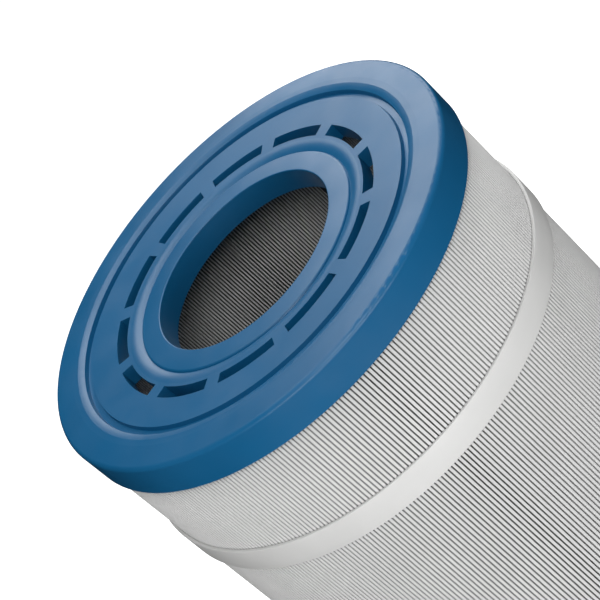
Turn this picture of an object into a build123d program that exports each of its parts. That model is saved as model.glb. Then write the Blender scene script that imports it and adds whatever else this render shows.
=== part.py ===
"""Pleated filter cartridge for a pool or spa filter, standing upright on its lower end cap.

Millimetres, +Z up along the cartridge's axis, origin at the centre of the lower end face.
Both ends are the same: a moulded end cap with a central bore, a ring of slots and a skirt
that takes the ends of the pleated media in a trough filled with potting compound.
"""
import os

from build123d import *

# ---------------------------------------------------------------- overall sizes
overall_length = 498.0        # end face to end face
cap_radius = 88.9             # seven inches across the end cap
bore_radius = 38.9            # bore through each end cap
end_land_height = 1.9         # end face land above the rim of the bore

# ---------------------------------------------------------------- end cap face, from the bore outwards
rim_round = 0.4               # rounded edge of the bore
bore_ring_width = 9.1         # raised ring round the bore
bore_ring_sag = 0.05          # middle of the ring, below the rim
bore_ring_fall = 0.25         # outer edge of the ring, below the rim
crease_run = 0.8              # ring's outer edge to the bottom of the crease
crease_depth = 0.95           # crease outside the ring, below the rim
bead_width = 5.0              # rounded step from the crease up to the floor
floor_inner_height = 0.1      # floor beside the bead, above the rim
floor_outer_height = 0.95     # floor beside the outer ring, above the rim
outer_ring_width = 17.5       # from the floor's edge to the outside of the cap
groove_wall_run = 0.45        # how far each wall of the groove leans
groove_width = 2.2            # flat bottom of the groove between the floor and the outer ring
groove_depth = 0.6            # bottom of the groove, below the rim
ring_lip_height = 1.1         # top of the groove's outer wall, above the rim
land_inset = 11.7             # outside of the cap to the inner edge of the flat land
land_width = 2.4              # flat land that the cartridge stands and seals on
shoulder_height = 1.4         # start of the rounded outer edge, above the rim
edge_radius = 1.8             # rounded outer edge of the cap
arc_share = 0.65              # share of an arc's height reached at its middle

# ---------------------------------------------------------------- end cap body
cap_depth = 12.7              # rim of the bore to the bottom of the skirt
plate_depth = 6.5             # rim of the bore to the underside of the slotted plate
trough_roof_depth = 4.0       # rim of the bore to the roof of the potting trough
collar_depth = 9.9            # length of the bore's collar below the rim
collar_wall = 4.0
skirt_wall = 1.5
trough_lip_depth = 10.5       # rim of the bore to the bottom of the trough's inner lip
trough_lip_wall = 3.4

# ---------------------------------------------------------------- slots
slot_count = 12
slot_offset = 17.85           # edge of the bore to the middle of the slots
slot_width = 4.75
slot_span = 24.0              # degrees that one slot takes up

# ---------------------------------------------------------------- media, core, potting and bands
fold_depth = 18.7             # radial depth of the pleats
potting_depth = 4.5           # thickness of the potting ring
core_wall = 2.5
core_ring_height = 5.0
core_bar_span = 7.0           # degrees that one bar of the core takes up
core_bar_count = 4
core_bar_turn = 45.0          # angle of the first bar
core_bays = 3                 # open bays along one section of the core
coupler_wall = 2.0
coupler_reach = 12.0          # how far the coupler goes into each section
band_thickness = 1.25
band_width = 11.3
band_offset = 57.0            # rim of the bore to the middle of the end bands
weld_rise = 0.3               # welded lap of a band, above the band
weld_span = 12.0              # degrees that the welded lap takes up
weld_turn = 60.0              # angle of the welded laps
seam_thickness = 0.8          # adhesive strip between the two end pleats of the media
seam_inset = 0.6              # strip to the media's inner and outer faces
seam_turn = 160.0             # angle of the media's side seam

# ---------------------------------------------------------------- clearances
skirt_clearance = 0.2         # pleats to the inside of the skirt
core_clearance = 0.15         # core to the inner folds
lip_clearance = 0.15          # core to the trough's inner lip
coupler_clearance = 0.1       # coupler to the core
band_clearance = 0.05         # band to the pleat tips
seam_clearance = 0.05         # strip to the media on each side
cut_margin = 1.0              # how far a cutting shape runs past the face it cuts

# ---------------------------------------------------------------- sizes that follow
media_outer = cap_radius - skirt_wall - skirt_clearance
media_inner = media_outer - fold_depth
core_outer = media_inner - core_clearance
core_inner = core_outer - core_wall
lip_outer = core_inner - lip_clearance
lip_inner = lip_outer - trough_lip_wall
collar_outer = bore_radius + collar_wall
crease_radius = bore_radius + bore_ring_width
bead_outer = crease_radius + bead_width
slot_middle = bore_radius + slot_offset
ring_edge = crease_radius - crease_run
floor_outer = cap_radius - outer_ring_width
groove_inner = floor_outer + groove_wall_run
groove_outer = groove_inner + groove_width
ring_start = groove_outer + groove_wall_run
land_inner = cap_radius - land_inset
land_outer = land_inner + land_width
edge_start = cap_radius - edge_radius
lower_rim = end_land_height
upper_rim = overall_length - end_land_height
potting_face = trough_roof_depth + potting_depth
media_bottom = lower_rim + potting_face
media_length = upper_rim - potting_face - media_bottom
middle_height = overall_length / 2
core_section_length = media_length / 2
band_places = {
    "band_upper": upper_rim - band_offset,
    "band_middle": middle_height,
    "band_lower": lower_rim + band_offset,
}

os.makedirs("parts", exist_ok=True)


def save(piece, name):
    """Label a finished piece and write it to its own STEP file."""
    piece.part.label = name
    export_step(piece.part, f"parts/{name}.step")


def crease_point(share):
    """A point on the fall from the ring's edge to the crease: level at the ring, steep below."""
    return ring_edge + crease_run * share, -bore_ring_fall - (crease_depth - bore_ring_fall) * share**2


def bead_point(share):
    """A point on the step: steep at the crease, level where it meets the floor."""
    drop = (floor_inner_height + crease_depth) * (1 - share) ** 3
    return crease_radius + bead_width * share, floor_inner_height - drop


def annular_sector(inner, outer, middle_angle, span):
    """Draw a closed sector of a ring in the current sketch's line context."""
    start = middle_angle - span / 2
    inner_arc = CenterArc((0, 0), inner, start, span)
    outer_arc = CenterArc((0, 0), outer, start, span)
    Line(inner_arc @ 0, outer_arc @ 0)
    Line(inner_arc @ 1, outer_arc @ 1)


def end_cap(rim, outward, name):
    """Moulded end cap: rim is the height of the bore's rim, outward is 1 on top and -1 below."""

    def at(radius, height):
        return radius, rim + outward * height

    with BuildPart() as cap:
        with BuildSketch(Plane.XZ):
            with BuildLine():
                # the face, from the bore outwards
                Line(at(bore_radius, -collar_depth), at(bore_radius, -rim_round))
                quarter = rim_round * (1 - 2**-0.5)
                ThreePointArc(
                    at(bore_radius, -rim_round),
                    at(bore_radius + quarter, -quarter),
                    at(bore_radius + rim_round, 0),
                )
                ThreePointArc(
                    at(bore_radius + rim_round, 0),
                    at((bore_radius + ring_edge) / 2, -bore_ring_sag),
                    at(ring_edge, -bore_ring_fall),
                )
                ThreePointArc(at(*crease_point(0)), at(*crease_point(0.5)), at(*crease_point(1)))
                ThreePointArc(at(*bead_point(0)), at(*bead_point(0.5)), at(*bead_point(1)))
                Line(at(bead_outer, floor_inner_height), at(floor_outer, floor_outer_height))
                # groove with leaning walls and a flat bottom
                Polyline(
                    at(floor_outer, floor_outer_height),
                    at(groove_inner, -groove_depth),
                    at(groove_outer, -groove_depth),
                    at(ring_start, ring_lip_height),
                )
                # broad outer ring with its flat land and rounded edge
                rise_height = ring_lip_height + (end_land_height - ring_lip_height) * arc_share
                ThreePointArc(
                    at(ring_start, ring_lip_height),
                    at((ring_start + land_inner) / 2, rise_height),
                    at(land_inner, end_land_height),
                )
                Line(at(land_inner, end_land_height), at(land_outer, end_land_height))
                fall_middle = (land_outer + edge_start) / 2
                fall_height = shoulder_height + (end_land_height - shoulder_height) * arc_share
                ThreePointArc(
                    at(land_outer, end_land_height),
                    at(fall_middle, fall_height),
                    at(edge_start, shoulder_height),
                )
                turn = edge_radius * 2**-0.5
                ThreePointArc(
                    at(edge_start, shoulder_height),
                    at(edge_start + turn, shoulder_height - edge_radius + turn),
                    at(cap_radius, shoulder_height - edge_radius),
                )
                # the skirt, the potting trough, the slotted plate and the collar
                Polyline(
                    at(cap_radius, shoulder_height - edge_radius),
                    at(cap_radius, -cap_depth),
                    at(cap_radius - skirt_wall, -cap_depth),
                    at(cap_radius - skirt_wall, -trough_roof_depth),
                    at(lip_outer, -trough_roof_depth),
                    at(lip_outer, -trough_lip_depth),
                    at(lip_inner, -trough_lip_depth),
                    at(lip_inner, -plate_depth),
                    at(collar_outer, -plate_depth),
                    at(collar_outer, -collar_depth),
                    at(bore_radius, -collar_depth),
                )
            make_face()
        revolve(axis=Axis.Z)
        # ring of slots through the plate
        with BuildSketch(Plane.XY.offset(rim)):
            with BuildLine():
                annular_sector(slot_middle - slot_width / 2, slot_middle + slot_width / 2, 0, slot_span)
            slot = make_face(mode=Mode.PRIVATE)
            with PolarLocations(0, slot_count):
                add(slot)
        extrude(amount=plate_depth + cut_margin, both=True, mode=Mode.SUBTRACT)
    save(cap, name)


def ring(inner, outer, bottom, height):
    """Plain ring in the current part, standing on the height given by bottom."""
    with BuildSketch(Plane.XY.offset(bottom)) as flat_ring:
        Circle(outer)
        Circle(inner, mode=Mode.SUBTRACT)
    extrude(flat_ring.sketch, amount=height)


def potting_ring(bottom, name):
    """Set adhesive that fills the trough behind the ends of the pleats and the core."""
    with BuildPart() as potting:
        ring(lip_outer, cap_radius - skirt_wall, bottom, potting_depth)
    save(potting, name)


def pleated_media():
    """Pleat pack as a plain sleeve, with the pocket of its side seam."""
    with BuildPart() as media:
        ring(media_inner, media_outer, media_bottom, media_length)
        with BuildSketch(Plane.XY.offset(media_bottom)):
            with Locations(Plane(origin=(0, 0, 0)).rotated((0, 0, seam_turn))):
                with Locations(((media_inner + media_outer) / 2, 0)):
                    Rectangle(fold_depth - 2 * seam_inset + 2 * seam_clearance,
                              seam_thickness + 2 * seam_clearance)
        extrude(amount=media_length, mode=Mode.SUBTRACT)
    save(media, "pleated_media")


def seam_strip():
    """Adhesive strip that joins the first and the last pleat along their whole height."""
    with BuildPart() as strip:
        with BuildSketch(Plane.XY.offset(media_bottom)):
            with Locations(Plane(origin=(0, 0, 0)).rotated((0, 0, seam_turn))):
                with Locations(((media_inner + media_outer) / 2, 0)):
                    Rectangle(fold_depth - 2 * seam_inset, seam_thickness)
        extrude(amount=media_length)
    save(strip, "media_seam_strip")


def core_section(bottom, name):
    """Open cage that holds the inner folds out: a tube with tall windows between its bars."""
    window_span = 360 / core_bar_count - core_bar_span
    window_turn = core_bar_turn + 180 / core_bar_count
    bay_pitch = (core_section_length - core_ring_height) / core_bays
    with BuildPart() as core:
        ring(core_inner, core_outer, bottom, core_section_length)
        for bay in range(core_bays):
            with BuildSketch(Plane.XY.offset(bottom + core_ring_height + bay * bay_pitch)):
                with BuildLine():
                    annular_sector(core_inner - cut_margin, core_outer + cut_margin,
                                   window_turn, window_span)
                window = make_face(mode=Mode.PRIVATE)
                with PolarLocations(0, core_bar_count):
                    add(window)
            extrude(amount=bay_pitch - core_ring_height, mode=Mode.SUBTRACT)
    save(core, name)


def core_coupler():
    """Short sleeve inside the core that lines up its two sections."""
    outer = core_inner - coupler_clearance
    with BuildPart() as coupler:
        ring(outer - coupler_wall, outer, middle_height - coupler_reach, 2 * coupler_reach)
    save(coupler, "core_coupler")


def band(middle, name):
    """Flat strap round the pleat tips, with its welded lap slightly proud."""
    inner = media_outer + band_clearance
    outer = inner + band_thickness
    bottom = middle - band_width / 2
    with BuildPart() as strap:
        ring(inner, outer, bottom, band_width)
        with BuildSketch(Plane.XY.offset(bottom)):
            with BuildLine():
                annular_sector((inner + outer) / 2, outer + weld_rise, weld_turn, weld_span)
            make_face()
        extrude(amount=band_width)
    save(strap, name)


end_cap(upper_rim, 1, "end_cap_top")
end_cap(lower_rim, -1, "end_cap_bottom")
potting_ring(upper_rim - potting_face, "potting_ring_top")
potting_ring(lower_rim + trough_roof_depth, "potting_ring_bottom")
pleated_media()
seam_strip()
core_section(middle_height, "core_section_upper")
core_section(media_bottom, "core_section_lower")
core_coupler()
for band_name, band_height in band_places.items():
    band(band_height, band_name)
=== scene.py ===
"""Looks of the pleated filter cartridge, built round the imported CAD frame. Metres, +Z up."""
import math

import bmesh
import bpy
from mathutils import Matrix, Vector


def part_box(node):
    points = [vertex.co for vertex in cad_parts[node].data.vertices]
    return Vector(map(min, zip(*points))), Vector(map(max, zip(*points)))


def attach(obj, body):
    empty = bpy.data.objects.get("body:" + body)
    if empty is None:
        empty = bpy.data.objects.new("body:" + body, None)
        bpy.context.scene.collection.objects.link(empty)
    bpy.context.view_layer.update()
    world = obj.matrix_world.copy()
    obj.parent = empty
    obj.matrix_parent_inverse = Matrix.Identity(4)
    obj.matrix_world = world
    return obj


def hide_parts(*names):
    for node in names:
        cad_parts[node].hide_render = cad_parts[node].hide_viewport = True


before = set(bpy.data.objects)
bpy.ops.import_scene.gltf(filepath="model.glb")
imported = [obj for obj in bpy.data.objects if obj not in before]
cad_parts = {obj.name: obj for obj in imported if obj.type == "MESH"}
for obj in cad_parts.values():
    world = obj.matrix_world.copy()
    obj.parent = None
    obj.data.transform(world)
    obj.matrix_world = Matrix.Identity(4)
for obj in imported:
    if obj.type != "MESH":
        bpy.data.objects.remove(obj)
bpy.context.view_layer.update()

# ---------------------------------------------------------------- places taken from the frame
media_low, media_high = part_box("pleated_media")
core_gap = 0.00015           # between the core and the inner folds
inner_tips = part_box("core_section_upper")[1].x + core_gap
land_height = 0.0019         # of the outer ring above the bore's rim
rim_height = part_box("end_cap_top")[1].z - land_height

# ---------------------------------------------------------------- camera
camera_distance = 0.7242
camera_azimuth = math.radians(-94.4)
camera_elevation = math.radians(28.0946)
camera_aim = Vector((-0.00132, -0.04985, 0.0))
camera_roll = math.radians(-47.768)
camera_lens = 124.1      # millimetres
camera_sensor = 36


def make_camera():
    """Long lens above the top cap, rolled over to one side."""
    level = camera_distance * math.cos(camera_elevation)
    place = Vector((
        level * math.cos(camera_azimuth),
        level * math.sin(camera_azimuth),
        camera_distance * math.sin(camera_elevation) + rim_height,
    ))
    aim = camera_aim + Vector((0, 0, rim_height))
    camera_data = bpy.data.cameras.new("view_camera")
    camera_data.lens = camera_lens
    camera_data.sensor_width = camera_sensor
    camera = bpy.data.objects.new("view_camera", camera_data)
    turn = (aim - place).to_track_quat("-Z", "Y").to_matrix() @ Matrix.Rotation(camera_roll, 3, "Z")
    camera.matrix_world = Matrix.Translation(place) @ turn.to_4x4()
    bpy.context.scene.collection.objects.link(camera)
    bpy.context.scene.camera = camera


make_camera()


# ---------------------------------------------------------------- materials
shade_reach = 0.0005          # painted shade reaches this far from the outer tips inwards
inner_shade_reach = 0.0008    # painted shade reaches this far from the inner tips outwards
# flat dark grey mixed into the cloth between the folds: painted shade
painted_shade_between_folds = (0.08, 0.08, 0.08)
inner_gap_shade_share = 0.05         # share of the cloth's own colour left in the inner gaps, the rest is painted shade
# share of the cloth's own colour left in the outer gaps, the rest is painted shade
outer_gap_shade_share = 0.39
middle_share = 0.5             # how far out the two kinds of painted gap shade meet
pattern_low = 0.35             # the part of a noise pattern that is spread over two values
pattern_high = 0.65
tone_scale = 28                # cells per metre
sheen_scale = 75
cloth_dark = (0.73, 0.73, 0.725)
cloth_light = (0.76, 0.76, 0.755)
cloth_roughness = (0.75, 0.95)
cloth_tone_scale = 40
cloth_sheen_scale = 300
fibre_scale = 2600
fibre_detail = 6
fibre_roughness = 0.7
fibre_depth = 0.00002


def new_material(name):
    """A node material with its shader, and Object coordinates ready for the patterns."""
    material = bpy.data.materials.new(name)
    material.use_nodes = True
    nodes = material.node_tree.nodes
    shader = nodes["Principled BSDF"]
    coordinates = nodes.new("ShaderNodeTexCoord")
    return material, nodes, material.node_tree.links, shader, coordinates.outputs["Object"]


def noise(nodes, links, vector, scale, detail=4.0, roughness=0.5):
    """Noise whose scale is in cells per metre."""
    texture = nodes.new("ShaderNodeTexNoise")
    texture.inputs["Scale"].default_value = scale
    texture.inputs["Detail"].default_value = detail
    texture.inputs["Roughness"].default_value = roughness
    links.new(vector, texture.inputs["Vector"])
    return texture.outputs["Fac"]


def vary_colour(nodes, links, pattern, dark, light, shader):
    """Base colour that drifts between two close tones."""
    ramp = nodes.new("ShaderNodeValToRGB")
    ramp.color_ramp.elements[0].position = pattern_low
    ramp.color_ramp.elements[0].color = (*dark, 1)
    ramp.color_ramp.elements[1].position = pattern_high
    ramp.color_ramp.elements[1].color = (*light, 1)
    links.new(pattern, ramp.inputs["Fac"])
    links.new(ramp.outputs["Color"], shader.inputs["Base Color"])


def vary_roughness(nodes, links, pattern, low, high, shader):
    """Roughness that drifts between two values."""
    spread = nodes.new("ShaderNodeMapRange")
    spread.inputs["From Min"].default_value = pattern_low
    spread.inputs["From Max"].default_value = pattern_high
    spread.inputs["To Min"].default_value = low
    spread.inputs["To Max"].default_value = high
    links.new(pattern, spread.inputs["Value"])
    links.new(spread.outputs["Result"], shader.inputs["Roughness"])


def add_bump(nodes, links, pattern, depth, shader):
    """Fine relief, with its depth in metres."""
    bump = nodes.new("ShaderNodeBump")
    bump.inputs["Strength"].default_value = 1.0
    bump.inputs["Distance"].default_value = depth
    links.new(pattern, bump.inputs["Height"])
    links.new(bump.outputs["Normal"], shader.inputs["Normal"])


def moulded_plastic(name, dark, light, roughness, grain_scale, grain_depth):
    """Satin moulded plastic with a faint grain."""
    material, nodes, links, shader, place = new_material(name)
    vary_colour(nodes, links, noise(nodes, links, place, tone_scale, 3), dark, light, shader)
    vary_roughness(nodes, links, noise(nodes, links, place, sheen_scale, 5), *roughness, shader)
    add_bump(nodes, links, noise(nodes, links, place, grain_scale, 3), grain_depth, shader)
    return material


def painted_fold_shade(nodes, links, place):
    """Painted shade: 1 at the tips of the folds, lower towards the cloth between them, by distance
    from the axis.
    """
    flatten = nodes.new("ShaderNodeVectorMath")
    flatten.operation = "MULTIPLY"
    flatten.inputs[1].default_value = (1, 1, 0)
    links.new(place, flatten.inputs[0])
    radius = nodes.new("ShaderNodeVectorMath")
    radius.operation = "LENGTH"
    links.new(flatten.outputs["Vector"], radius.inputs[0])
    depth = nodes.new("ShaderNodeMapRange")
    depth.inputs["From Min"].default_value = inner_tips
    depth.inputs["From Max"].default_value = media_high.x
    links.new(radius.outputs["Value"], depth.inputs["Value"])
    ramp = nodes.new("ShaderNodeValToRGB")
    links.new(depth.outputs["Result"], ramp.inputs["Fac"])
    across = media_high.x - inner_tips
    stops = ramp.color_ramp.elements
    for position in (inner_shade_reach / across, middle_share, 1 - shade_reach / across):
        stops.new(position)
    shade_shares = (1, inner_gap_shade_share, outer_gap_shade_share, outer_gap_shade_share, 1)
    for stop, share in zip(stops, shade_shares):
        stop.color = (share, share, share, 1)
    return ramp.outputs["Color"]


def filter_cloth():
    """White spun-bonded cloth, greyed down between the folds by painted shade."""
    material, nodes, links, shader, place = new_material("spun_bonded_cloth")
    flat = nodes.new("ShaderNodeUVMap")
    flat.uv_map = "flat_cloth"
    vary_colour(nodes, links, noise(nodes, links, place, cloth_tone_scale, 3),
                cloth_dark, cloth_light, shader)
    colour = shader.inputs["Base Color"].links[0].from_socket
    # mix the cloth towards dark grey between the folds: painted shade
    painted_shade_mix = nodes.new("ShaderNodeMixRGB")
    painted_shade_mix.inputs["Color1"].default_value = (*painted_shade_between_folds, 1)
    links.new(painted_fold_shade(nodes, links, place), painted_shade_mix.inputs["Fac"])
    links.new(colour, painted_shade_mix.inputs["Color2"])
    links.new(painted_shade_mix.outputs["Color"], shader.inputs["Base Color"])
    vary_roughness(nodes, links, noise(nodes, links, place, cloth_sheen_scale, 3),
                   *cloth_roughness, shader)
    fibres = noise(nodes, links, flat.outputs["UV"], fibre_scale, fibre_detail, fibre_roughness)
    add_bump(nodes, links, fibres, fibre_depth, shader)
    return material


cap_blue = moulded_plastic("cap_blue", dark=(0.004, 0.110, 0.262), light=(0.006, 0.120, 0.282),
                           roughness=(0.32, 0.40), grain_scale=1400, grain_depth=0.000006)
potting_blue = moulded_plastic("potting_blue", dark=(0.030, 0.120, 0.230), light=(0.040, 0.140, 0.260),
                               roughness=(0.25, 0.4), grain_scale=300, grain_depth=0.00003)
band_white = moulded_plastic("band_white", dark=(0.74, 0.74, 0.73), light=(0.78, 0.78, 0.77),
                             roughness=(0.45, 0.6), grain_scale=900, grain_depth=0.00001)
core_grey = moulded_plastic("core_grey", dark=(0.028, 0.028, 0.030), light=(0.040, 0.040, 0.043),
                            roughness=(0.4, 0.55), grain_scale=900, grain_depth=0.00001)
seam_glue = moulded_plastic("seam_glue", dark=(0.62, 0.60, 0.54), light=(0.70, 0.68, 0.62),
                            roughness=(0.3, 0.5), grain_scale=500, grain_depth=0.00004)
cloth_white = filter_cloth()


def finish_node(node, material):
    """Give a carried-over CAD node its finish."""
    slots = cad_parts[node].data.materials
    slots.clear()
    slots.append(material)


for node in ("end_cap_top", "end_cap_bottom"):
    finish_node(node, cap_blue)
for node in ("potting_ring_top", "potting_ring_bottom"):
    finish_node(node, potting_blue)
for node in ("core_section_upper", "core_section_lower", "core_coupler"):
    finish_node(node, core_grey)
finish_node("media_seam_strip", seam_glue)

# ---------------------------------------------------------------- pleated media
pleat_count = 348
cloth_thickness = 0.00030
outer_fold_radius = 0.00043    # half the width of the fold, middle of the cloth
outer_fold_rise = 0.00015
inner_fold_radius = 0.00017    # middle of the cloth
outer_fold_steps = 6
inner_fold_steps = 4
seam_angle = math.radians(160)
seam_extra = math.radians(0.44)
height_steps = 8
# the folds' inner ends reach the core, a hair outside it
fold_reach = ((media_high.x - cloth_thickness / 2 - outer_fold_rise)
              - (inner_tips + cloth_thickness / 2 + inner_fold_radius))
end_lean = 0.92              # of a fold's half width, where the sheet starts and ends


def pleat_line():
    """The cloth's middle line seen from above, one fold after another from seam to seam."""
    outer = media_high.x - cloth_thickness / 2 - outer_fold_rise
    inner = outer - fold_reach
    pitch = (math.tau - seam_extra) / pleat_count
    start = seam_angle + seam_extra / 2
    line = []
    for pleat in range(pleat_count):
        middle = start + (pleat + 0.5) * pitch
        for step in range(outer_fold_steps + 1):
            turn = math.pi * step / outer_fold_steps
            line.append(place_on_pleat(middle, -outer_fold_radius * math.cos(turn),
                                       outer + outer_fold_rise * math.sin(turn)))
        if pleat == pleat_count - 1:
            break
        for step in range(inner_fold_steps + 1):
            turn = math.pi * step / inner_fold_steps
            line.append(place_on_pleat(middle + pitch / 2, -inner_fold_radius * math.cos(turn),
                                       inner - inner_fold_radius * math.sin(turn)))
    first = start + 0.5 * pitch
    last = start + (pleat_count - 0.5) * pitch
    line.insert(0, place_on_pleat(first, -outer_fold_radius * end_lean, inner))
    line.append(place_on_pleat(last, outer_fold_radius * end_lean, inner))
    return line


def place_on_pleat(angle, sideways, outwards):
    """A point on the pleat at an angle round the axis, off its middle plane by sideways."""
    return Vector((
        outwards * math.cos(angle) - sideways * math.sin(angle),
        outwards * math.sin(angle) + sideways * math.cos(angle),
    ))


def make_media():
    """One sheet of cloth, folded into pleats, standing between the two potting rings."""
    line = pleat_line()
    along = [0.0]
    for before, after in zip(line, line[1:]):
        along.append(along[-1] + (after - before).length)
    levels = [media_low.z + (media_high.z - media_low.z) * step / height_steps
              for step in range(height_steps + 1)]
    mesh = bpy.data.meshes.new("pleated_cloth")
    shape = bmesh.new()
    rows = [[shape.verts.new((point.x, point.y, level)) for point in line] for level in levels]
    flat = shape.loops.layers.uv.new("flat_cloth")
    for step in range(height_steps):
        for number in range(len(line) - 1):
            face = shape.faces.new((rows[step][number], rows[step][number + 1],
                                    rows[step + 1][number + 1], rows[step + 1][number]))
            face.smooth = True
            corners = ((number, step), (number + 1, step), (number + 1, step + 1), (number, step + 1))
            for loop, (across, up) in zip(face.loops, corners):
                loop[flat].uv = (along[across], levels[up])
    shape.to_mesh(mesh)
    shape.free()
    cloth = bpy.data.objects.new("pleated_cloth", mesh)
    bpy.context.scene.collection.objects.link(cloth)
    thickness = cloth.modifiers.new("thickness", "SOLIDIFY")
    thickness.thickness = cloth_thickness
    thickness.offset = 0
    mesh.materials.append(cloth_white)
    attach(cloth, "root")
    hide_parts("pleated_media")
    return cloth


make_media()

# ---------------------------------------------------------------- bands
band_segments = 288
band_edge_round = 0.0003
lap_turn = math.radians(60)
lap_span = math.radians(10)
lap_rise = 0.00026
weld_mark_height = 0.0024     # of each pressed weld mark
weld_mark_depth = 0.00018
weld_mark_margin = 0.0003
band_gap = 0.00005            # between the pleat tips and the band
band_thickness = 0.00125
smooth_angle = math.radians(35)


def choose_faces(band, wanted):
    """Select only the faces that pass the test, and go into edit mode."""
    numbers = [face.index for face in band.data.polygons if wanted(face)]
    bpy.ops.object.mode_set(mode="EDIT")
    bpy.ops.mesh.select_all(action="DESELECT")
    bpy.ops.object.mode_set(mode="OBJECT")
    for number in numbers:
        band.data.polygons[number].select = True
    bpy.ops.object.mode_set(mode="EDIT")


def make_band(node):
    """Flat strap with softened edges; its welded lap carries a row of pressed marks."""
    low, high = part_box(node)
    inner = media_high.x + band_gap
    outer = inner + band_thickness
    middle = (low.z + high.z) / 2
    bpy.ops.object.select_all(action="DESELECT")
    bpy.ops.mesh.primitive_cylinder_add(vertices=band_segments, radius=inner, depth=high.z - low.z,
                                        end_fill_type="NOTHING", location=(0, 0, middle))
    band = bpy.context.object
    band.name = node + "_strap"
    bpy.ops.object.transform_apply(location=True, rotation=True, scale=True)
    bpy.ops.object.mode_set(mode="EDIT")
    bpy.ops.mesh.select_mode(type="FACE")
    for height in (middle - weld_mark_height / 2, middle + weld_mark_height / 2):
        bpy.ops.mesh.select_all(action="SELECT")
        bpy.ops.mesh.bisect(plane_co=(0, 0, height), plane_no=(0, 0, 1))
    bpy.ops.object.mode_set(mode="OBJECT")
    wall = band.modifiers.new("wall", "SOLIDIFY")
    wall.thickness = outer - inner
    wall.offset = 1
    wall.use_even_offset = True
    edges = band.modifiers.new("edges", "BEVEL")
    edges.width = band_edge_round
    edges.segments = 3
    edges.limit_method = "ANGLE"
    for modifier in ("wall", "edges"):
        bpy.ops.object.modifier_apply(modifier=modifier)

    def on_lap(face):
        centre = face.center
        turn = math.atan2(centre.y, centre.x) - lap_turn
        return abs(turn) < lap_span / 2 and centre.to_2d().length > outer - band_edge_round / 4

    choose_faces(band, on_lap)
    bpy.ops.mesh.extrude_region_move()
    bpy.ops.transform.shrink_fatten(value=lap_rise)
    bpy.ops.object.mode_set(mode="OBJECT")

    def is_mark(face):
        raised = face.center.to_2d().length > outer + lap_rise / 2
        return raised and abs(face.center.z - middle) < weld_mark_height / 4

    choose_faces(band, is_mark)
    bpy.ops.mesh.inset(thickness=weld_mark_margin, use_individual=True)
    bpy.ops.transform.shrink_fatten(value=-weld_mark_depth)
    bpy.ops.object.mode_set(mode="OBJECT")
    bpy.ops.object.shade_smooth_by_angle(angle=smooth_angle)
    band.data.materials.append(band_white)
    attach(band, "root")
    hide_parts(node)


for band_node in ("band_upper", "band_middle", "band_lower"):
    make_band(band_node)

# ---------------------------------------------------------------- studio
floor_size = 14
floor_drop = 0.0002           # under the cartridge's lower face
floor_white = (0.93, 0.93, 0.93, 1)
floor_roughness = 0.9
floor_glow = 0.8
air_strength = 0.19
light_aim = Vector((0, 0, rim_height - 0.05))


def area_light(name, azimuth, elevation, distance, width, height, power):
    """Softbox facing the aim, placed by its direction from it in degrees."""
    data = bpy.data.lights.new(name, "AREA")
    data.shape = "RECTANGLE"
    data.size = width
    data.size_y = height
    data.energy = power
    light = bpy.data.objects.new(name, data)
    turn, rise = math.radians(azimuth), math.radians(elevation)
    away = Vector((math.cos(turn) * math.cos(rise), math.sin(turn) * math.cos(rise), math.sin(rise)))
    light.matrix_world = (Matrix.Translation(light_aim + away * distance)
                          @ (-away).to_track_quat("-Z", "Y").to_matrix().to_4x4())
    bpy.context.scene.collection.objects.link(light)


def make_studio():
    """Pale floor, faint surrounding light, and soft boxes in front, above and behind."""
    bpy.ops.object.select_all(action="DESELECT")
    bpy.ops.mesh.primitive_plane_add(size=floor_size, location=(0, 0, -floor_drop))
    floor = bpy.context.object
    floor.name = "floor"
    material, nodes, links, shader, place = new_material("pale_floor")
    shader.inputs["Base Color"].default_value = floor_white
    shader.inputs["Roughness"].default_value = floor_roughness
    shader.inputs["Emission Color"].default_value = (1, 1, 1, 1)
    shader.inputs["Emission Strength"].default_value = floor_glow
    floor.data.materials.append(material)
    floor.visible_diffuse = False
    floor.visible_glossy = False
    world = bpy.data.worlds.new("studio_air")
    world.use_nodes = True
    world.node_tree.nodes["Background"].inputs["Color"].default_value = (1, 1, 1, 1)
    world.node_tree.nodes["Background"].inputs["Strength"].default_value = air_strength
    world.cycles_visibility.glossy = False
    bpy.context.scene.world = world
    area_light("side_softbox", azimuth=57, elevation=36, distance=1.0,
               width=0.74, height=0.9, power=6.6)
    area_light("top_softbox", azimuth=90, elevation=84, distance=1.5,
               width=0.8, height=0.8, power=7)
    area_light("front_softbox", azimuth=-98, elevation=-3, distance=1.6,
               width=2.4, height=0.7, power=19)
    area_light("small_softbox", azimuth=-94, elevation=42, distance=1.5,
               width=0.55, height=0.55, power=7)
    bpy.context.scene.view_settings.view_transform = "Standard"


make_studio()
